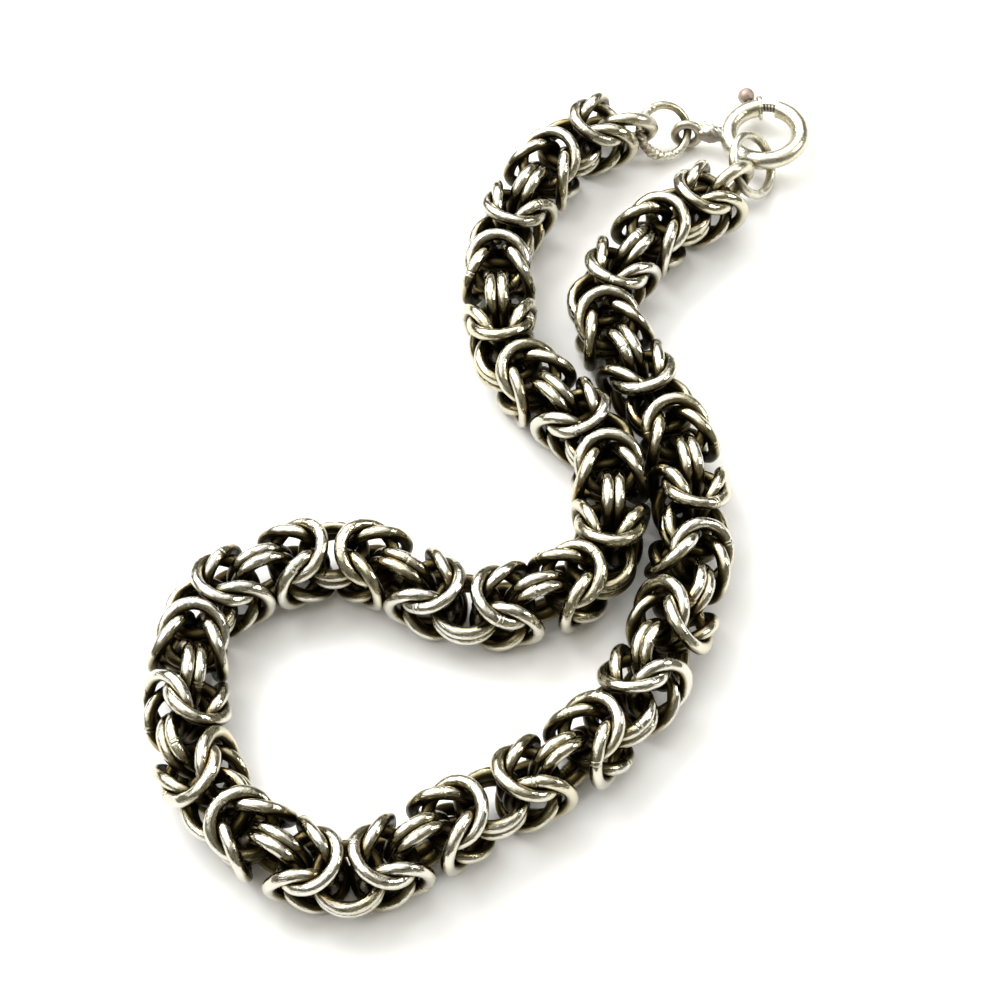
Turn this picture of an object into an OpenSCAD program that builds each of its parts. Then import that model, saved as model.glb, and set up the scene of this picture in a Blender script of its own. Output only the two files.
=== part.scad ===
// Bracelet of byzantine chain with a spring ring clasp, laid down in a loose curve.
// Millimetres. The table is at z = 0. Each woven ring is a loose solid, clear of its neighbours.

/* [Woven rings] */
// Wire diameter of the woven rings
wire_d = 0.78; // [0.6:0.02:0.8]
// Inside diameter of the woven rings
ring_id = 3.92; // [3.88:0.02:4.2]

/* [End links] */
// Wire diameter of the heavy link at each end of the chain
end_wire = 1.2; // [0.9:0.05:1.25]
// Inside diameter of the heavy links
end_id = 3.3; // [3.2:0.05:3.6]

/* [Jump rings] */
// Wire diameter of the jump ring on the clasp side
jump_a_wire = 0.65; // [0.5:0.05:0.7]
// Inside diameter of the jump ring on the clasp side
jump_a_id = 3.9; // [3.8:0.1:4.2]
// Wire diameter of the jump ring that hangs in the spring ring
jump_b_wire = 0.75; // [0.5:0.05:0.8]
// Inside diameter of the jump ring that hangs in the spring ring
jump_b_id = 4.55; // [4.4:0.05:4.8]

/* [Spring ring] */
// Outside diameter of the spring ring
clasp_od = 8; // [7.8:0.1:8.4]
// Diameter of its tube
tube_d = 1.6; // [1.5:0.05:1.7]
// Diameter of the bolt that slides in the tube
bolt_d = 0.76; // [0.6:0.02:0.8]
// Gap between the bolt and the bore of the tube, on each side
bolt_fit = 0.09; // [0.05:0.01:0.1]
// Diameter of the ball that the thumb draws back
knob_d = 1.5; // [1.2:0.1:1.6]
// Diameter of the short stem that carries the ball
stem_d = 0.45; // [0.4:0.05:0.6]
// Outside diameter of the collar at the mouth of the tube
collar_d = 2.2; // [1.9:0.1:2.3]
// Length of the collar along the tube
collar_len = 0.3; // [0.2:0.05:0.5]
// Where the mouth of the tube is, degrees round the ring
mouth_at = 94; // [90:1:100]
// Width of the gap that the bolt shuts, degrees
gap_deg = 24; // [20:1:26]
// How far the bolt is drawn back when it is open, degrees
draw_deg = 28; // [27:1:32]
// Wire diameter of the small ring soldered to the tube
eye_wire = 0.7; // [0.6:0.05:0.75]
// Inside diameter of that small ring
eye_id = 1.5; // [1.5:0.05:1.8]
// Length of the neck between the tube and the small ring
neck_len = 1.45; // [1.2:0.05:1.6]
// Diameter of the neck
neck_d = 0.9; // [0.8:0.05:1]

/* [Hidden] */

ring_r = (ring_id + wire_d) / 2;
end_r = (end_id + end_wire) / 2;
jump_a_r = (jump_a_id + jump_a_wire) / 2;
jump_b_r = (jump_b_id + jump_b_wire) / 2;
clasp_r = (clasp_od - tube_d) / 2;
eye_r = (eye_id + eye_wire) / 2;

// Where the pairs that tie the weave lie on the table: x, y and roll in degrees, end to end.
// The numbers suit a woven ring of 2.3 mm mean radius and grow with it.
ROUTE = [
    [11, 36, 0], [6, 33.5, 0], [2.5, 28, 0], [0, 23, 0], [0, 16.5, 5], [0.5, 11, 0],
    [4.5, 7, 5], [8.5, 3, 0], [9, -2.5, -5], [8.5, -8.5, 5], [3.5, -11, 0],
    [-2.5, -12.5, 0], [-7.5, -9, 0], [-12.5, -7, 5], [-18.5, -9, 10], [-23, -12, 5],
    [-23.5, -18, -20], [-23, -23.5, -50], [-20.5, -28.5, -70], [-16, -32, -90],
    [-10.5, -34.5, -85], [-6, -31.5, -95], [0, -28, -100], [5, -25, -100], [9.5, -21, -110],
    [12.5, -16, -125], [14.5, -10.5, -140], [15.5, -5, -160], [15, 1, -175],
    [13.5, 6, -185], [10, 12, -180], [8, 16.5, -185], [11.5, 22, -170], [15, 25.5, -185],
    [20, 29, -180]];
last = len(ROUTE) - 1;
split_at = 17;
size = ring_r / 2.3;

// Shape of one knot of the weave, for the same ring
splay = 28.64;
lift = 1.563 * size;
half_pair = 0.462 * size;
tip_gap = 0.377 * size;
overlap = 0.154 * size;
far_off = ring_r * cos(splay);
tie_off = tip_gap + far_off;
step = 2 * tie_off + overlap;

function unit(v) = v / norm(v);
function turn(v, k, a) = v * cos(a) + cross(k, v) * sin(a) + k * (k * v) * (1 - cos(a));
function bend_of(v) = 2 * asin(min(1, norm(v) / 2));

// How far a tied pair and the tips that lie over it reach from the middle of the chain
function reach(r) = max(
    lift * abs(cos(r)) + norm([ring_r * sin(splay) * cos(r), ring_r * sin(r)]),
    lift * abs(sin(r)) + norm([ring_r * sin(splay) * sin(r), ring_r * cos(r)]));
tie = [for (p = ROUTE) [p[0] * size, p[1] * size, reach(p[2]) + wire_d / 2 + 0.02]];
roll = [for (p = ROUTE) p[2]];

steps = [for (i = [0:last - 1]) tie[i + 1] - tie[i]];
along = [for (s = steps) unit(s)];
function tangent(i) = i == 0 ? along[0] : i == last ? along[last - 1]
    : unit(along[i - 1] + along[i]);
function face(d, a) = let(side = unit(cross([0, 0, 1], d))) turn(cross(d, side), d, a);
function quarter(i) = i % 2 == 0 ? 90 : 0;
function tie_face(i) = face(tangent(i), roll[i] + quarter(i));

// A bend across the tied pair, or along it, drives the tips apart by this much
function room(i) = i == 0 || i == last ? 0 :
    let(b = along[i] - along[i - 1], n = tie_face(i), up = b * n,
        flat = bend_of(b - up * n) / 2)
    (norm([far_off * cos(flat), ring_r * sin(flat)]) + tip_gap) / cos(flat) - tie_off
    + (lift + ring_r * sin(splay)) * tan(bend_of([up, 0, 0]) / 2);
function slack(i) = norm(steps[i]) - step - room(i) - room(i + 1);
function share(s) = s > 0 ? 0.472 * s : 0.594 * s;
function from_start(i) = tie_off + room(i) + share(slack(i));
function from_end(i) = tie_off + room(i + 1) + share(slack(i));

// Middle of the tied pair i, moved to the inside of the bend
function tie_mid(i) = tie[i]
    + along[i] * (norm(steps[i]) - from_end(i) - far_off) / 2
    - along[i - 1] * (norm(steps[i - 1]) - from_start(i - 1) - far_off) / 2;

// The two rings side by side that tie one knot to the next: middle and axis of each
function tied_pair(i) = let(n = tie_face(i))
    [for (s = [1, -1]) [tie_mid(i) + s * half_pair * n, n]];

// Two pairs folded back through each other between tied pairs i and i + 1
function knot(i) = let(d = along[i], r = (roll[i] + roll[i + 1]) / 2,
        n = face(d, r + quarter(i + 1)), m = face(d, r + quarter(i)))
    [for (s = [1, -1]) each [
        [tie[i + 1] - d * from_end(i) + s * lift * n, -s * sin(splay) * d + cos(splay) * n],
        [tie[i] + d * from_start(i) + s * lift * m, s * sin(splay) * d + cos(splay) * m]]];

strand_a = concat([for (i = [1:split_at]) each tied_pair(i)],
    [for (i = [0:split_at - 1]) each knot(i)]);
strand_b = concat([for (i = [split_at + 1:last - 1]) each tied_pair(i)],
    [for (i = [split_at:last - 1]) each knot(i)]);

// The links of the clasp lie loosely: middle and axis of each
clasp_turn = [-3.31, -4.98, -3.74];
clasp_x = axis_of([1, 0, 0]);
clasp_y = axis_of([0, 1, 0]);
clasp_z = axis_of([0, 0, 1]);
function axis_of(v) = turn(turn(turn(v, [1, 0, 0], clasp_turn[0]),
    [0, 1, 0], clasp_turn[1]), [0, 0, 1], clasp_turn[2]);

eye_off = clasp_r + tube_d / 2 + neck_len + eye_wire / 2 + eye_r;
link_a = [tie[0] + [0.18, -0.57, -0.23], unit([-0.06, 0.96, 0.27])];
jump_a = [link_a[0] + (end_r + jump_a_r - 1.07) * unit([0.965, 0.15, -0.213]),
    unit([0.3, -0.53, 0.79])];
clasp_mid = jump_a[0] + (jump_a_r + eye_r - 1.15) * unit([0.953, 0.048, -0.299])
    + eye_off * clasp_x;
link_b = [tie[last] + [-0.26, 0.07, 0.04], unit([-0.66, 0.74, 0.12])];
// This one takes up what little the distance from clasp to chain changes by
jump_b = [(clasp_mid + (clasp_r + jump_b_r - 1.75) * unit([-0.322, -0.94, 0.115])
    + link_b[0] + (jump_b_r + end_r - 1.25) * unit([0.61, 0.775, -0.163])) / 2,
    unit([0.71, -0.27, 0.65])];

// Angles round the spring ring, and its bore
eye_turn = 95;
bore_d = bolt_d + 2 * bolt_fit;
tip_at = mouth_at - gap_deg - 2.4;
knob_at = mouth_at + 16;
bolt_back = knob_at + 8;
bore_end = bolt_back + draw_deg + 6;
collar_deg = collar_len / clasp_r * 180 / PI;
knob_off = clasp_r + tube_d / 2 + 0.15 + knob_d / 2;
stem_gap = 0.1;
slot_w = stem_d + 2 * stem_gap;
slot_from = knob_at - asin(slot_w / 2 / clasp_r);
slot_to = knob_at + draw_deg + asin(slot_w / 2 / clasp_r);

module ring_at(place, r, d) {
    translate(place[0])
        rotate([0, acos(place[1][2]), atan2(place[1][1], place[1][0])])
            rotate_extrude($fn = 72)
                translate([r, 0])
                    circle(d = d, $fn = 24);
}

// Everything is drawn with its box centred over the origin and its lowest ring on the table
function reach_of(place, r, d) = [for (k = [0:2]) r * sqrt(max(0, 1 - pow(place[1][k], 2))) + d / 2];
spans = concat(
    [for (p = concat(strand_a, strand_b)) [p[0], reach_of(p, ring_r, wire_d)]],
    [[link_a[0], reach_of(link_a, end_r, end_wire)], [link_b[0], reach_of(link_b, end_r, end_wire)],
     [jump_a[0], reach_of(jump_a, jump_a_r, jump_a_wire)],
     [jump_b[0], reach_of(jump_b, jump_b_r, jump_b_wire)],
     [clasp_mid, reach_of([clasp_mid, clasp_z], clasp_r, tube_d)],
     [clasp_mid + knob_off * (cos(knob_at) * clasp_x + sin(knob_at) * clasp_y),
      [knob_d / 2, knob_d / 2, knob_d / 2]]]);
low = [for (k = [0:2]) min([for (s = spans) s[0][k] - s[1][k]])];
high = [for (k = [0:2]) max([for (s = spans) s[0][k] + s[1][k]])];
origin = [(low[0] + high[0]) / 2, (low[1] + high[1]) / 2, low[2]];

module laid() {
    translate(-origin) children();
}

module in_clasp() {
    laid()
        translate(clasp_mid)
            rotate(clasp_turn)
                children();
}

module chain_strand_a() {
    color("silver")
        laid()
            for (p = strand_a) ring_at(p, ring_r, wire_d);
}

module chain_strand_b() {
    color("silver")
        laid()
            for (p = strand_b) ring_at(p, ring_r, wire_d);
}

module end_link_clasp() {
    color("silver") laid() ring_at(link_a, end_r, end_wire);
}

module end_link_catch() {
    color("silver") laid() ring_at(link_b, end_r, end_wire);
}

module jump_ring_clasp() {
    color("silver") laid() ring_at(jump_a, jump_a_r, jump_a_wire);
}

module jump_ring_catch() {
    color("silver") laid() ring_at(jump_b, jump_b_r, jump_b_wire);
}

// A piece of round bar that follows the middle of the tube
module arc(from, sweep, d) {
    rotate([0, 0, from])
        rotate_extrude(angle = sweep, $fn = 72)
            translate([clasp_r, 0])
                circle(d = d, $fn = 24);
}

// Bent tube with a collar at its mouth, the neck and the small ring soldered to it
module spring_ring() {
    color("lightgray")
        in_clasp() {
            difference() {
                union() {
                    arc(mouth_at, 360 - gap_deg, tube_d);
                    arc(mouth_at, collar_deg, collar_d);
                }
                // The bore runs on for as far as the bolt is drawn back
                arc(mouth_at - 1, bore_end - mouth_at + 1, bore_d);
                // The far end has a short socket for the tip of the bolt
                arc(tip_at - 1.5, mouth_at - gap_deg - tip_at + 2.5, bore_d);
                // Slot for the stem of the knob
                rotate([0, 0, slot_from])
                    rotate_extrude(angle = slot_to - slot_from, $fn = 72)
                        translate([clasp_r, -slot_w / 2])
                            square([collar_d, slot_w]);
            }
            translate([-eye_off, 0, 0])
                rotate([eye_turn, 0, 0])
                    rotate_extrude($fn = 48)
                        translate([eye_r, 0])
                            circle(d = eye_wire, $fn = 24);
            translate([-clasp_r - tube_d / 2 - neck_len - eye_wire / 2, 0, 0])
                rotate([0, 90, 0])
                    cylinder(h = neck_len + eye_wire / 2 + tube_d / 2, d = neck_d, $fn = 32);
        }
}

// Bolt in the tube with the ball that the thumb draws back
module bolt() {
    color("silver")
        in_clasp() {
            arc(tip_at, bolt_back - tip_at, bolt_d);
            rotate([0, 0, knob_at]) {
                translate([clasp_r, 0, 0])
                    rotate([0, 90, 0])
                        cylinder(h = knob_off - clasp_r, d = stem_d, $fn = 24);
                translate([knob_off, 0, 0])
                    sphere(d = knob_d, $fn = 32);
            }
        }
}

chain_strand_a();
chain_strand_b();
end_link_clasp();
end_link_catch();
jump_ring_clasp();
jump_ring_catch();
spring_ring();
bolt();
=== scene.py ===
import math

import bpy
import numpy as np
from mathutils import Matrix, Quaternion, Vector


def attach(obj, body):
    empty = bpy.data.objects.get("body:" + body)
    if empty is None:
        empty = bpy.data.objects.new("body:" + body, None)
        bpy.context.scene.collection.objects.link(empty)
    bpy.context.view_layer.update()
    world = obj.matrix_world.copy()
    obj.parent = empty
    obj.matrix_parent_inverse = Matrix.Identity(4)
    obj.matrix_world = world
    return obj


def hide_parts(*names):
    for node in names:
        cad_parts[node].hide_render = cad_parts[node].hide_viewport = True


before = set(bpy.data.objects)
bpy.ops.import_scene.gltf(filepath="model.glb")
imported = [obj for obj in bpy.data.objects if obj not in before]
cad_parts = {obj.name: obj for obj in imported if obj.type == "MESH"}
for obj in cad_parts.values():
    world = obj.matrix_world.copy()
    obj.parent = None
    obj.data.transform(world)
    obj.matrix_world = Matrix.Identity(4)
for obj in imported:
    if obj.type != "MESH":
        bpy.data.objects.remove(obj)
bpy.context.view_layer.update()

MM = 0.001
FULL = 2 * math.pi
UP = np.array([0, 0, 1.0])

# Chain, in mm: mean radius of each kind of ring and radius of its wire as worn
STRANDS = ("chain_strand_a", "chain_strand_b")
WOVEN_R, WIRE = 2.35, 0.52
END_R, END_WIRE = 2.25, 0.6
JUMP = {"jump_ring_clasp": (2.275, 0.38), "jump_ring_catch": (2.65, 0.42)}

# Clasp, in mm and degrees. It is drawn in its own frame: x away from the small ring, z out of the plane of
# the spring ring
CLASP_MID = np.array([23.4733, 34.2147, 2.1485])    # as in the source of the part
CLASP_TURN = (-3.31, -4.98, -3.74)                  # about x, y, z
TUBE_AT, TUBE, BORE = 3.2, 0.8, 0.47
MOUTH, FAR_END, BORE_END = 94.0, 430.0, 152.0
SLOT_FROM, SLOT_TO, SLOT_HALF = 104.1, 143.9, 0.325
KNOB_AT, KNOB_OFF, KNOB, BOLT = 110.0, 4.9, 0.75, 0.38
STEM_FROM, STEM_TO, STEM = 3.45, 4.10, 0.225
BOLT_FROM, BOLT_TO = 67.6, 118.0
RIDGE_FROM, RIDGE_TO, RIDGE_EVERY = 70, 97, 5.6
EYE_OFF, EYE_R, EYE_WIRE, EYE_TURN = 6.9, 1.1, 0.4, 82.0
CLOSED = 0.02         # radius of the first and last circle of a closed form

# Camera
AIM = Vector((-0.055, -2.673, 0.1)) * MM            # point of the table in the middle of the photo
ELEVATION = math.radians(59.61)
DISTANCE = 193.7 * MM
FIELD = math.radians(24)
ROLL = math.radians(0.22)


# Reading the rings of the solids
def vertices_of(obj):
    co = np.zeros(len(obj.data.vertices) * 3, np.float32)
    obj.data.vertices.foreach_get("co", co)
    return co.reshape(-1, 3).astype(np.float64) / MM


def islands_of(obj):
    """Vertex groups of the loose rings in a mesh, joined where vertices lie on each other."""
    co = vertices_of(obj)
    key = np.round(co * 2000).astype(np.int64)
    _, first = np.unique(key, axis=0, return_inverse=True)
    first = first.ravel()
    edges = np.zeros(len(obj.data.edges) * 2, np.int32)
    obj.data.edges.foreach_get("vertices", edges)
    a, b = first[edges[0::2]], first[edges[1::2]]
    label = np.arange(first.max() + 1)
    while True:
        low = np.minimum(label[a], label[b])
        before = label.copy()
        np.minimum.at(label, a, low)
        np.minimum.at(label, b, low)
        label = label[label]
        if (label == before).all():
            break
    group = label[first]
    return [co[group == g] for g in np.unique(group)]


def ring_fit(points):
    """Centre and axis of the ring that a loose mesh forms."""
    centre = points.mean(0)
    return centre, np.linalg.svd(points - centre, full_matrices=False)[2][2]


def basis(axis):
    """Two directions across an axis."""
    other = UP if abs(axis[2]) < 0.9 else np.array([1.0, 0, 0])
    u = np.cross(axis, other)
    u /= np.linalg.norm(u)
    return u, np.cross(axis, u)


# Building meshes
def circle(count):
    return np.linspace(0, FULL, count, endpoint=False)


def grid_faces(rows, cols):
    """Four-sided faces of a grid of points that closes in both directions."""
    a, b = np.meshgrid(np.arange(rows), np.arange(cols), indexing="ij")
    next_a, next_b = (a + 1) % rows, (b + 1) % cols
    quads = np.stack([a * cols + b, next_a * cols + b, next_a * cols + next_b, a * cols + next_b], -1)
    return quads.reshape(-1, 4)


def strip(rows, cols, skip=()):
    """Four-sided faces of a grid of points that closes across its rows only."""
    faces = []
    for i in range(rows - 1):
        for j in range(cols):
            if (i, j) not in skip:
                k = (j + 1) % cols
                faces.append((i * cols + j, (i + 1) * cols + j, (i + 1) * cols + k, i * cols + k))
    return faces


def normals_of(verts, faces):
    f = np.asarray(faces)
    n = np.cross(verts[f[:, 2]] - verts[f[:, 0]], verts[f[:, 3]] - verts[f[:, 1]])
    out = np.zeros_like(verts)
    for k in range(4):
        np.add.at(out, f[:, k], n)
    return out / np.maximum(np.linalg.norm(out, axis=1), 1e-9)[:, None]


def make_object(name, verts, faces, attributes, slot, body, node):
    mesh = bpy.data.meshes.new(name)
    mesh.vertices.add(len(verts))
    mesh.vertices.foreach_set("co", (verts * MM).astype(np.float32).ravel())
    faces = np.asarray(faces, np.int32)
    n = len(faces)
    mesh.loops.add(n * 4)
    mesh.loops.foreach_set("vertex_index", faces.ravel())
    mesh.polygons.add(n)
    mesh.polygons.foreach_set("loop_start", np.arange(0, n * 4, 4, dtype=np.int32))
    mesh.polygons.foreach_set("use_smooth", np.ones(n, bool))
    mesh.update()
    mesh.validate()
    for key, values in attributes.items():
        values = np.asarray(values, np.float32)
        if values.ndim == 2:
            mesh.attributes.new(key, "FLOAT_VECTOR", "POINT").data.foreach_set("vector", values.ravel())
        else:
            mesh.attributes.new(key, "FLOAT", "POINT").data.foreach_set("value", values)
    obj = bpy.data.objects.new(name, mesh)
    bpy.context.scene.collection.objects.link(obj)
    obj.data.materials.append(METALS[slot])
    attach(obj, body)
    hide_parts(node)


# Materials
class Nodes:
    """Short ways to add nodes to one node tree."""

    def __init__(self, tree, coordinates):
        tree.nodes.clear()
        self.tree = tree
        self.place = self.add("ShaderNodeTexCoord").outputs[coordinates]

    def add(self, kind):
        return self.tree.nodes.new(kind)

    def put(self, value, socket):
        """Give a socket a number, a colour or the output of another node."""
        if isinstance(value, float):
            socket.default_value = value
        elif isinstance(value, tuple):
            socket.default_value = (*value, 1)
        else:
            self.tree.links.new(value, socket)

    def attribute(self, name, output="Fac"):
        n = self.add("ShaderNodeAttribute")
        n.attribute_name = name
        return n.outputs[output]

    def noise(self, scale, detail, roughness, place=None):
        n = self.add("ShaderNodeTexNoise")
        n.inputs["Scale"].default_value = scale
        n.inputs["Detail"].default_value = detail
        n.inputs["Roughness"].default_value = roughness
        self.put(place or self.place, n.inputs["Vector"])
        return n.outputs["Fac"]

    def calc(self, operation, a, b, clamp=False):
        n = self.add("ShaderNodeMath")
        n.operation = operation
        n.use_clamp = clamp
        self.put(a, n.inputs[0])
        self.put(b, n.inputs[1])
        return n.outputs[0]

    def ramp(self, value, low, high, to_low=0.0, to_high=1.0):
        n = self.add("ShaderNodeMapRange")
        n.interpolation_type = "SMOOTHSTEP"
        for key, x in (("From Min", low), ("From Max", high), ("To Min", to_low), ("To Max", to_high)):
            n.inputs[key].default_value = x
        self.put(value, n.inputs["Value"])
        return n.outputs["Result"]

    def mix(self, factor, a, b):
        n = self.add("ShaderNodeMix")
        n.data_type = "RGBA"
        self.put(factor, n.inputs["Factor"])
        self.put(a, n.inputs[6])
        self.put(b, n.inputs[7])
        return n.outputs[2]

    def toward(self, direction, *limits):
        """Ramp over the angle between a direction and the one looked in."""
        n = self.add("ShaderNodeVectorMath")
        n.operation = "DOT_PRODUCT"
        n.inputs[1].default_value = direction
        self.put(self.place, n.inputs[0])
        return self.ramp(n.outputs["Value"], *limits)


DULL_YELLOW = (0.90, 0.86, 0.72)      # by this the pale silver is multiplied in broad patches
OLIVE = (0.26, 0.225, 0.13)           # thin olive tarnish and painted half-shade round the dark recesses
BROWN = (0.36, 0.25, 0.11)            # stains on some of the inner wires
ROSE = (0.40, 0.325, 0.28)            # thumb ball and old solder
DENT_DEPTH = 0.00009                  # m


def metal(name, pale, tarnish_and_shade, rough, dark_at, dark_by, pits, dents):
    mat = bpy.data.materials.new(name)
    mat.use_nodes = True
    t = Nodes(mat.node_tree, "Object")
    out = t.add("ShaderNodeOutputMaterial")
    bsdf = t.add("ShaderNodeBsdfPrincipled")
    t.put(bsdf.outputs[0], out.inputs[0])
    bsdf.inputs["Metallic"].default_value = 1.0
    recess, seam, blush = t.attribute("recess"), t.attribute("seam"), t.attribute("blush")
    patch = t.noise(420, 5, 0.6)
    speck = t.noise(2600, 4, 0.6)
    broad = t.noise(130, 3, 0.55)
    # Tarnish and painted shade sit where the wires crowd together and hide the sky, with olive half-shade
    # round them, and break up at their edge
    depth = t.calc("ADD", recess, t.calc("MULTIPLY", t.calc("SUBTRACT", patch, 0.5), 0.5))
    dark = t.ramp(depth, dark_at, dark_at + dark_by)
    pit = t.ramp(speck, 0.66, 0.78, 0.0, pits)
    # Pits, the dark joints of the rings and the painted shade of the clasp's bores, slots and undersides,
    # carried in the seam attribute, darken too
    dark = t.calc("MAXIMUM", t.calc("MAXIMUM", dark, pit), seam, clamp=True)
    yellowed = tuple(c * k for c, k in zip(pale, DULL_YELLOW))
    colour = t.mix(t.ramp(broad, 0.35, 0.7), pale, yellowed)
    colour = t.mix(t.ramp(depth, dark_at - 0.3, dark_at + 0.05), colour, OLIVE)
    stain = t.calc("MULTIPLY", t.ramp(t.noise(300, 3, 0.6), 0.55, 0.66, 0.0, 0.6),
                   t.ramp(depth, dark_at - 0.32, dark_at - 0.1))
    colour = t.mix(stain, colour, BROWN)
    colour = t.mix(t.calc("MULTIPLY", blush, t.ramp(patch, 0.25, 0.6, 0.45, 1.0)), colour, ROSE)
    t.put(t.mix(dark, colour, tarnish_and_shade), bsdf.inputs["Base Color"])
    dull = t.calc("MULTIPLY", t.calc("ADD", dark, blush), 0.25)
    t.put(t.calc("ADD", t.ramp(patch, 0.3, 0.75, rough, rough + 0.09), dull), bsdf.inputs["Roughness"])
    # Shallow dents, fine specks and the grain of drawn wire
    drawn = t.noise(1.6, 3, 0.6, t.attribute("grain", "Vector"))
    fine = t.calc("ADD", t.calc("MULTIPLY", speck, 0.1), t.calc("MULTIPLY", drawn, 1.4))
    height = t.calc("ADD", t.calc("MULTIPLY", t.noise(700, 2, 0.5), 0.6), fine)
    bump = t.add("ShaderNodeBump")
    bump.inputs["Strength"].default_value = dents
    bump.inputs["Distance"].default_value = DENT_DEPTH
    t.put(height, bump.inputs["Height"])
    t.put(bump.outputs[0], bsdf.inputs["Normal"])
    return mat


METALS = {
    "oxidised_silver": metal("silver_dark", pale=(0.68, 0.665, 0.595), tarnish_and_shade=(0.050, 0.038, 0.015),
                             rough=0.05, dark_at=0.48, dark_by=0.22, pits=0.4, dents=0.55),
    "silver": metal("silver_bright", pale=(0.72, 0.705, 0.625), tarnish_and_shade=(0.05, 0.038, 0.022),
                    rough=0.23, dark_at=0.64, dark_by=0.3, pits=0.25, dents=0.4),
}


# Where every ring lies
def rot(axis, degrees):
    return np.array(Matrix.Rotation(math.radians(degrees), 3, axis))


CLASP = rot("Z", CLASP_TURN[2]) @ rot("Y", CLASP_TURN[1]) @ rot("X", CLASP_TURN[0])


def to_world(local):
    return np.asarray(local) @ CLASP.T + CLASP_MID


LINE = circle(40)


def centreline(centre, axis, radius):
    u, v = basis(axis)
    return centre + radius * (np.outer(np.cos(LINE), u) + np.outer(np.sin(LINE), v))


rings = {node: [ring_fit(p) for p in islands_of(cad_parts[node])] for node in STRANDS}
for node in ("end_link_clasp", "end_link_catch", *JUMP):
    rings[node] = [ring_fit(islands_of(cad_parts[node])[0])]

# Centre, axis, radius and wire of every ring in the order in which they are drawn, then of the tube and
# of the small ring
every = [(c, a, WOVEN_R, WIRE) for node in STRANDS for c, a in rings[node]]
every += [(*rings[node][0], END_R, END_WIRE) for node in ("end_link_clasp", "end_link_catch")]
every += [(*rings[node][0], *JUMP[node]) for node in JUMP]
SPRING = len(every)
every += [(CLASP_MID, CLASP[:, 2], TUBE_AT, TUBE),
          (to_world([-EYE_OFF, 0, 0]), CLASP @ rot("X", EYE_TURN)[:, 2], EYE_R, EYE_WIRE)]
lines = np.array([centreline(c, a, r) for c, a, r, w in every])
centres = np.array([e[0] for e in every])


# Tarnish and painted shade in the recesses, from how much of the sky the wires near a point hide
def crowding(points, normals, samples, weights):
    """How much of the sky over each point the wires near it hide, from 0 to 1."""
    total = np.zeros(len(points))
    batch, nearest = 400, 0.45
    for s in range(0, len(samples), batch):
        d = samples[None, s:s + batch, :] - points[:, None, :]
        dist = np.maximum(np.linalg.norm(d, axis=2), nearest)
        facing = np.clip((d * normals[:, None, :]).sum(2) / dist, 0, 1)
        total += (facing * weights[None, s:s + batch] / dist ** 2).sum(1)
    return 1 - np.exp(-total)


def recess_of(points, normals, own):
    """Crowding of one ring's surface by the rings near it."""
    reach, strength = 2.2, 1.3
    near = [k for k in range(len(every)) if k != own
            and np.linalg.norm(centres[k] - every[own][0]) < every[own][2] + every[k][2] + reach]
    step = FULL * WOVEN_R / len(LINE)
    weights = np.repeat([2 * every[k][3] * step / math.pi for k in near], len(LINE))
    return crowding(points, normals, lines[near].reshape(-1, 3), weights * strength)


# The rings of the chain
SEAM_ANGLES = (-5.5, -3.2, -1.6, -0.55, 0.0, 0.55, 1.6, 3.2, 5.5)     # degrees either side of a ring's joint
SEAM_CLEAR, SEAM_NOTCH, SEAM_LINE = math.radians(8.5), math.radians(1.0), math.radians(0.8)


def old_solder(away, th, ph):
    """Lumps of old solder, thickest on the left and along the near edge."""
    side_on = np.clip(0.35 - 0.9 * away[:, 0] - 0.5 * away[:, 1], 0, 1)[:, None]
    beads = (np.sin(19 * th) * np.sin(11 * th + 2 * ph) + 0.6 * np.sin(31 * th - 3 * ph)
             + 0.5 * np.sin(13 * th + ph))
    return side_on * (0.55 + 0.5 * beads)


def ring_mesh(centre, axis, radius, wire, rng, count, sides, seam, rough, lumps):
    """One ring bent by hand from drawn wire: never quite round, and its two ends never quite in line."""
    u, v = basis(axis)
    at = rng.uniform(0, FULL)
    local = np.concatenate([np.radians(SEAM_ANGLES),
                            np.linspace(SEAM_CLEAR, FULL - SEAM_CLEAR, count - len(SEAM_ANGLES))])
    th = local + at
    away = np.outer(np.cos(th), u) + np.outer(np.sin(th), v)
    p1, p2, p3 = rng.uniform(0, FULL, 3)
    spring = rng.uniform(-0.05, 0.05)
    from_seam = (local + math.pi) % FULL - math.pi
    side = np.where(from_seam >= 0, 1.0, -1.0) * np.exp(-np.abs(from_seam) / 0.25)
    out = radius * (1 + 0.006 * np.cos(2 * th + p1) + 0.003 * np.cos(3 * th + p2))
    lift = 0.02 * np.cos(2 * th + p3) + side * spring
    mid = centre + away * out[:, None] + np.outer(lift, axis)
    thick = wire * (1 + 0.012 * np.cos(5 * th + p2) + 0.01 * np.cos(9 * th + p1))
    thick = thick * (1 - seam * np.exp(-(from_seam / SEAM_NOTCH) ** 2))
    k1, k2 = rng.uniform(0, FULL, 2)
    across, along = circle(sides)[None, :], th[:, None]
    r = thick[:, None] * (1 + 0.015 * np.cos(2 * across + k1))
    r = r * (1 + rough * np.cos(3 * along + 2 * across + k2)
             + rough * 0.6 * np.cos(11 * along - across + k1))
    if lumps > 0:
        r = r * (1 + lumps * old_solder(away, along, across))
    normal = np.cos(across)[:, :, None] * away[:, None, :] + np.sin(across)[:, :, None] * axis[None, None, :]
    pts = mid[:, None, :] + r[:, :, None] * normal
    # The grain of drawn wire runs along it
    shift = rng.uniform(0, 50)
    grain = np.stack(np.broadcast_arrays(1.1 * np.cos(across), 1.1 * np.sin(across),
                                         shift + 1.3 * radius * local[:, None] * 0.55), -1)
    return pts.reshape(-1, 3), normal.reshape(-1, 3), from_seam.repeat(sides), grain.reshape(-1, 3)


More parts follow.
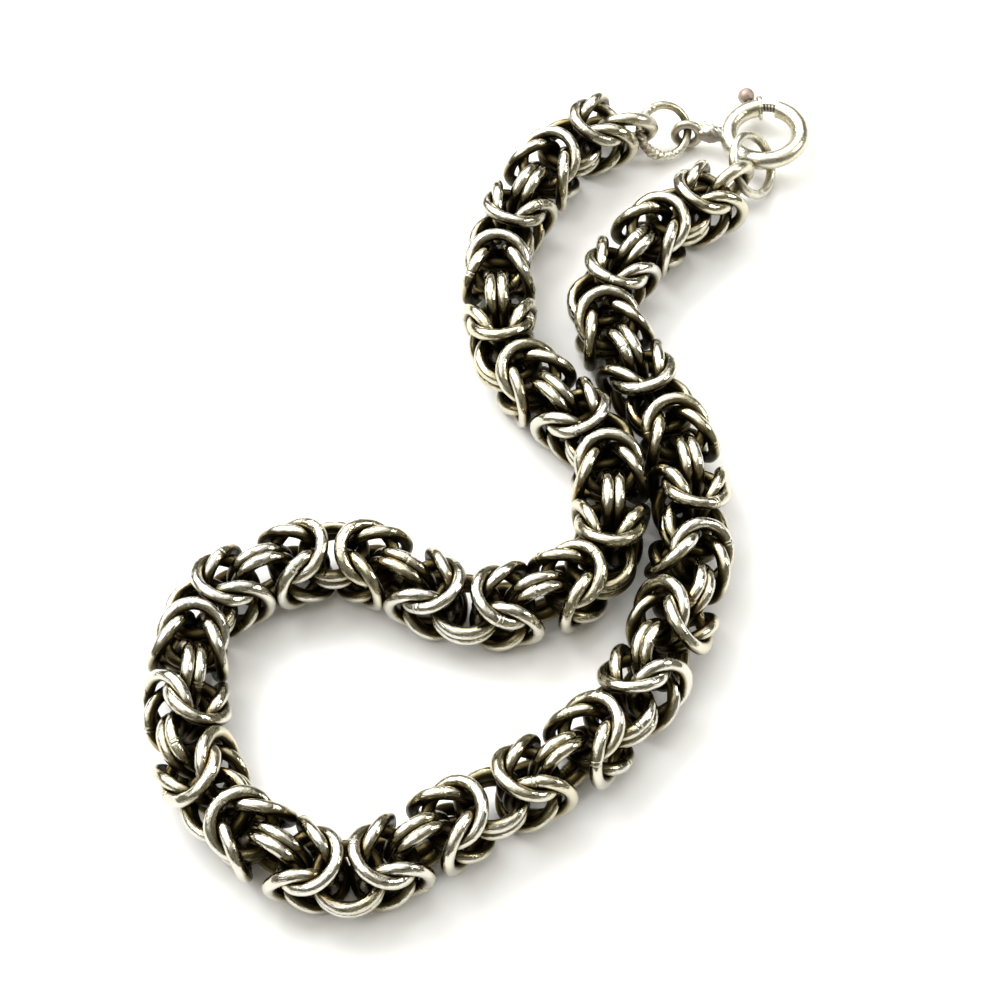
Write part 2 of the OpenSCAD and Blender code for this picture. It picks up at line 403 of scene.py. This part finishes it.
def build_rings(name, node, first, radius, wire, slot, rng, count, sides, seam, rough, lumps=0.0):
    verts, faces, recess, seams, grains = [], [], [], [], []
    for k, (centre, axis) in enumerate(rings[node]):
        pts, normal, from_seam, grain = ring_mesh(centre, axis, radius, wire, rng,
                                                  count, sides, seam, rough, lumps)
        faces.append(grid_faces(count, sides) + k * len(pts))
        verts.append(pts)
        grains.append(grain)
        recess.append(recess_of(pts, normal, first + k))
        mark = rng.uniform(0.0, 0.2)
        seams.append(mark * np.exp(-(from_seam / SEAM_LINE) ** 2))
    pts = np.vstack(verts)
    blush = np.zeros(len(pts))
    if lumps > 0:
        blush = np.clip((pts.mean(0)[0] - pts[:, 0]) / 2.3 - 0.25, 0, 1) * 0.9
    make_object(name, pts, np.vstack(faces),
                {"recess": np.concatenate(recess), "seam": np.concatenate(seams), "blush": blush,
                 "grain": np.vstack(grains)}, slot, "chain", node)


rng = np.random.RandomState(7)
first = 0
for name, node in (("woven_rings_a", "chain_strand_a"), ("woven_rings_b", "chain_strand_b")):
    build_rings(name, node, first, WOVEN_R, WIRE, "oxidised_silver", rng, 56, 16, seam=0.05, rough=0.016)
    first += len(rings[node])
for name, node in (("end_link_a", "end_link_clasp"), ("end_link_b", "end_link_catch")):
    build_rings(name, node, first, END_R, END_WIRE, "silver", rng, 96, 28, seam=0.06, rough=0.016)
    first += 1
for name, node, lumps in (("jump_ring_a", "jump_ring_clasp", 0.32), ("jump_ring_b", "jump_ring_catch", 0.0)):
    build_rings(name, node, first, *JUMP[node], "silver", rng, 220, 24, seam=0.12, rough=0.02, lumps=lumps)
    first += 1


# The clasp. Each part gives its points, its faces, its painted shade and its own rosy tone
def swept_rows(rows, columns, centre_of, wobble):
    """Points of a tube: one circle per row (where, radius), laid round the frame that centre_of gives."""
    pts = []
    for k, (where, radius) in enumerate(rows):
        mid, across, up = centre_of(where)
        ph = columns[k] if isinstance(columns, list) else columns
        r = radius * (1 + wobble(where, ph))
        pts.append(mid + r[:, None] * (np.cos(ph)[:, None] * across + np.sin(ph)[:, None] * up))
    return np.vstack(pts)


def round_ring(degrees):
    a = math.radians(degrees)
    out = np.array([math.cos(a), math.sin(a), 0])
    return TUBE_AT * out, out, UP


def tube_body():
    """Bent tube with a bore at its mouth, a slot into the bore and a shallow hole at its far end."""
    slot_cols, other_cols = 6, 44
    half_out, half_in = math.radians(24), math.asin(SLOT_HALF / BORE)

    def columns_for(half):
        return np.concatenate([np.linspace(-half, half, slot_cols + 1),
                               np.linspace(half, FULL - half, other_cols)[1:-1]])
    before, along, after = 8, 26, 6
    arc_at = np.concatenate([np.linspace(MOUTH, SLOT_FROM, before), np.linspace(SLOT_FROM, SLOT_TO, along)[1:],
                             np.linspace(SLOT_TO, BORE_END, after)[1:]])
    rest = np.linspace(BORE_END, FAR_END - 1.2, 150)[1:]
    rows = [(BORE_END, CLOSED)] + [(a, BORE) for a in arc_at[::-1]]
    first_out = len(rows)
    rows += [(a, TUBE) for a in arc_at] + [(a, TUBE) for a in rest]
    rows += [(FAR_END - 0.7, 0.792), (FAR_END - 0.25, 0.765), (FAR_END, 0.72), (FAR_END, BORE),
             (FAR_END - 3.6, BORE), (FAR_END - 3.6, CLOSED)]
    columns = [columns_for(half_in)] * first_out + [columns_for(half_out)] * (len(rows) - first_out)
    cols = len(columns[0])
    pts = swept_rows(rows, columns, round_ring,
                     lambda a, ph: 0.008 * np.sin(a / 9.0 + 2 * ph) + 0.006 * np.sin(a / 3.7 - ph) - 0.004)
    lo = before - 1                       # rows of arc_at where the slot begins and ends
    hi = lo + along - 1
    n = len(arc_at)
    skip = {(first_out + i, j) for i in range(lo, hi) for j in range(slot_cols)}
    skip |= {(n - i - 1, j) for i in range(lo, hi) for j in range(slot_cols)}
    faces = strip(len(rows), cols, skip)

    def outer(i, j):
        return (first_out + i) * cols + j

    def inner(i, j):
        return (n - i) * cols + j

    last = slot_cols
    for i in range(lo, hi):
        faces.append((outer(i, 0), outer(i + 1, 0), inner(i + 1, 0), inner(i, 0)))
        faces.append((outer(i + 1, last), outer(i, last), inner(i, last), inner(i + 1, last)))
    for j in range(slot_cols):
        faces.append((outer(lo, j + 1), outer(lo, j), inner(lo, j), inner(lo, j + 1)))
        faces.append((outer(hi, j), outer(hi, j + 1), inner(hi, j + 1), inner(hi, j)))
    # Painted shade inside the bore and in the hole at the far end
    dark = np.zeros(len(pts))
    dark[:first_out * cols] = 0.9
    dark[-3 * cols:] = 0.9
    return pts, faces, dark, np.zeros(len(pts))


def collar():
    ph = circle(48)
    rows = [(0.2, 0.48), (-0.35, 0.50), (-0.5, 0.60), (-0.5, 0.98), (-0.1, 1.07),
            (0.8, 1.11), (5.6, 1.11), (6.5, 1.07), (6.9, 0.98), (7.0, 0.78)]
    rows = [(MOUTH + a, r) for a, r in rows]
    pts = swept_rows(rows, ph, round_ring, lambda a, p: 0.02 * np.sin(5 * p + a) + 0.015 * np.sin(9 * p))
    # Painted shade inside the collar by the bore and on its rim at the far end
    dark = np.repeat([0.9, 0.6, 0.3, 0.0, 0.0, 0.0, 0.0, 0.0, 0.3, 0.7], len(ph))
    return pts, strip(len(rows), len(ph)), dark, np.zeros(len(pts))


def neck():
    """Rough solder between the tube and the small ring: a crest along its top, with painted shade and a rosier
    tone on its lower side.
    """
    ph = circle(48)
    s = np.linspace(0, 1, 70)
    radius = 0.62 + 0.22 * np.exp(-((s - 0.62) / 0.26) ** 2)
    rows = [(0.0, CLOSED)] + list(zip(s, radius)) + [(1.0, CLOSED)]

    def centre(t):
        return (np.array([-3.35 - 2.5 * t, -0.16 + 0.22 * t, 0.15 * math.sin(2.6 * t)]),
                np.array([0, 1.0, 0]), UP)

    def rough(t, p):
        crest = np.clip(np.cos(p - 0.6), 0, 1)
        return (0.50 * math.exp(-((t - 0.80) / 0.08) ** 2) * crest ** 4
                + 0.22 * math.exp(-((t - 0.50) / 0.07) ** 2) * crest ** 3
                + 0.07 * np.sin(3 * p - 7 * t) + 0.045 * np.sin(6 * p + 17 * t) * np.sin(11 * t))
    pts = swept_rows(rows, ph, centre, rough)
    # Painted shade on the lower side of the neck, which is also rosier there
    below = np.clip(0.25 - 1.3 * np.cos(np.tile(ph, len(rows)) - 0.35), 0, 1)
    return pts, strip(len(rows), len(ph)), 0.42 * below, 0.7 * below


def small_ring():
    """The small ring, lumpy where it meets the neck."""
    tilt = rot("X", EYE_TURN)

    def centre(degrees):
        a = math.radians(degrees)
        out = np.array([math.cos(a), math.sin(a), 0])
        return np.array([-EYE_OFF, 0, 0]) + tilt @ (EYE_R * out), tilt @ out, tilt @ UP

    def wobble(a, p):
        lumps = 0.10 * math.exp(-(min(a, 360 - a) / 28) ** 2) * np.sin(4 * p + a / 7)
        return 0.03 * np.sin(math.radians(4 * a) + 2 * p) + 0.02 * np.sin(math.radians(9 * a) - p) + lumps
    at = np.linspace(0, 360, 96, endpoint=False)
    ph = circle(24)
    pts = swept_rows([(a, EYE_WIRE) for a in at], ph, centre, wobble)
    # Painted shade on the inner side of the small ring, which is also rosier there
    inward = np.tile(0.5 - 0.5 * np.cos(ph), len(at))
    return pts, grid_faces(len(at), len(ph))[:, ::-1], 0.35 * inward, 0.35 + 0.3 * inward


def ridged_bolt():
    ph = circle(28)
    rows = [(BOLT_FROM, CLOSED), (BOLT_FROM, BOLT - 0.06)]
    rows += [(a, BOLT - 0.005) for a in np.linspace(BOLT_FROM, BOLT_TO, 170)] + [(BOLT_TO, CLOSED)]

    def groove(a, p):
        return (0.5 - 0.5 * np.cos(FULL / RIDGE_EVERY * a + p)) ** 2
    pts = swept_rows(rows, ph, round_ring,
                     lambda a, p: -0.09 * groove(a, p) if RIDGE_FROM < a < RIDGE_TO else 0 * p)
    where = np.repeat([r[0] for r in rows], len(ph))
    # Painted shade over the whole bolt, which lies in the bore, deepest in its grooves
    dark = np.clip(0.55 + 0.45 * groove(where, np.tile(ph, len(rows))), 0, 1)
    return pts, strip(len(rows), len(ph)), dark, np.zeros(len(pts))


def knob():
    """Stem in the slot and the thumb ball on it."""
    a = math.radians(KNOB_AT)
    out, side = np.array([math.cos(a), math.sin(a), 0]), np.array([-math.sin(a), math.cos(a), 0])
    ph = circle(40)
    rows = [(STEM_FROM, CLOSED), (STEM_FROM, STEM), (STEM_TO, STEM)]
    ball = np.linspace(math.radians(161), 0.02, 34)
    rows += [(KNOB_OFF + KNOB * math.cos(q), KNOB * math.sin(q)) for q in ball]
    pts = swept_rows(rows, ph, lambda d: (d * out, side, UP),
                     lambda d, p: 0.02 * np.sin(2 * p + 3 * d) + 0.012 * np.sin(7 * p + 9 * d))
    # Painted shade on the stem in the slot and round the foot of the ball
    dark = np.repeat([0.8, 0.8, 0.7] + [0.35] * 3 + [0.0] * 31, len(ph))
    blush = np.repeat([0.0, 0.0, 0.4] + [1.0] * 34, len(ph))
    return pts, strip(len(rows), len(ph)), dark, blush


def build_clasp(name, node, makers, body):
    verts, faces, dark, blush, start = [], [], [], [], 0
    for make in makers:
        pts, quads, seam, rosy = make()
        verts.append(pts)
        faces.append(np.asarray(quads) + start)
        dark.append(seam)
        blush.append(rosy)
        start += len(pts)
    pts, quads = to_world(np.vstack(verts)), np.vstack(faces)
    recess = recess_of(pts, normals_of(pts, quads), SPRING)
    # The painted shade of each part goes into the seam attribute, which on the rings of the chain marks their
    # joints
    make_object(name, pts, quads, {"recess": recess, "seam": np.concatenate(dark),
                                   "blush": np.concatenate(blush), "grain": pts * 0.9}, "silver", body, node)


build_clasp("spring_tube", "spring_ring", [tube_body, collar, neck, small_ring], "chain")
build_clasp("clasp_bolt", "bolt", [ridged_bolt, knob], "bolt")

# Table
HALF_TABLE = 1.2      # m
floor_mesh = bpy.data.meshes.new("table_top")
floor_mesh.from_pydata([(x * HALF_TABLE, y * HALF_TABLE, 0) for x, y in ((-1, -1), (1, -1), (1, 1), (-1, 1))],
                       [], [(0, 1, 2, 3)])
floor = bpy.data.objects.new("table_top", floor_mesh)
bpy.context.scene.collection.objects.link(floor)
white = bpy.data.materials.new("white_table")
white.use_nodes = True
table = white.node_tree.nodes["Principled BSDF"]
table.inputs["Base Color"].default_value = (0.93, 0.93, 0.925, 1)
table.inputs["Roughness"].default_value = 0.55
table.inputs["Specular IOR Level"].default_value = 0.3
floor.data.materials.append(white)


# Light
def area(name, place, size, power):
    light = bpy.data.lights.new(name, "AREA")
    light.energy = power
    light.size = size
    obj = bpy.data.objects.new(name, light)
    obj.location = place
    obj.rotation_euler = (-Vector(place)).to_track_quat("-Z", "Y").to_euler()
    bpy.context.scene.collection.objects.link(obj)


area("window", (-0.30, 0.28, 0.42), 0.30, 2.4)
area("fill", (0.38, 0.05, 0.28), 0.14, 0.6)

world = bpy.data.worlds.new("studio")
bpy.context.scene.world = world
world.use_nodes = True
w = Nodes(world.node_tree, "Generated")
world_out = w.add("ShaderNodeOutputWorld")
background = w.add("ShaderNodeBackground")
w.put(background.outputs[0], world_out.inputs[0])

# A bright ceiling, strongest at the upper left, with a beam across it and a dark shape at the camera
ceiling = w.calc("MULTIPLY", w.toward((-0.2, 0.25, 0.947), 0.58, 0.68, 0.0, 1.0),
                 w.toward((-0.42, 0.5, 0.757), 0.45, 0.88, 0.50, 2.6))
ceiling = w.calc("MULTIPLY", ceiling, w.toward((0.05, -0.52, 0.853), 0.955, 0.985, 1.0, 0.12))
beam = w.calc("MAXIMUM", w.toward((0.78, 0.62, 0.0), -0.16, -0.12, 1.0, 0.22),
              w.toward((0.78, 0.62, 0.0), 0.0, 0.04, 0.22, 1.0))
ceiling = w.calc("MULTIPLY", ceiling, beam)
# A dim, warmer room round it, in broken patches
patches = w.ramp(w.noise(2.3, 2.0, 0.5), 0.42, 0.56, 0.09, 0.27)
w.put(w.mix(ceiling, (1.0, 0.93, 0.72), (1.0, 0.99, 0.965)), background.inputs["Color"])
w.put(w.calc("ADD", ceiling, patches), background.inputs["Strength"])

# Camera
cam_data = bpy.data.cameras.new("camera")
cam_data.sensor_fit = "HORIZONTAL"
cam_data.angle = FIELD
cam_data.clip_start = 0.01
camera = bpy.data.objects.new("camera", cam_data)
camera.location = AIM + Vector((0, -math.cos(ELEVATION), math.sin(ELEVATION))) * DISTANCE
looking = (AIM - camera.location).to_track_quat("-Z", "Y")
camera.rotation_euler = (looking @ Quaternion((0, 0, 1), ROLL)).to_euler()
bpy.context.scene.collection.objects.link(camera)
bpy.context.scene.camera = camera
bpy.context.scene.view_settings.view_transform = "Standard"
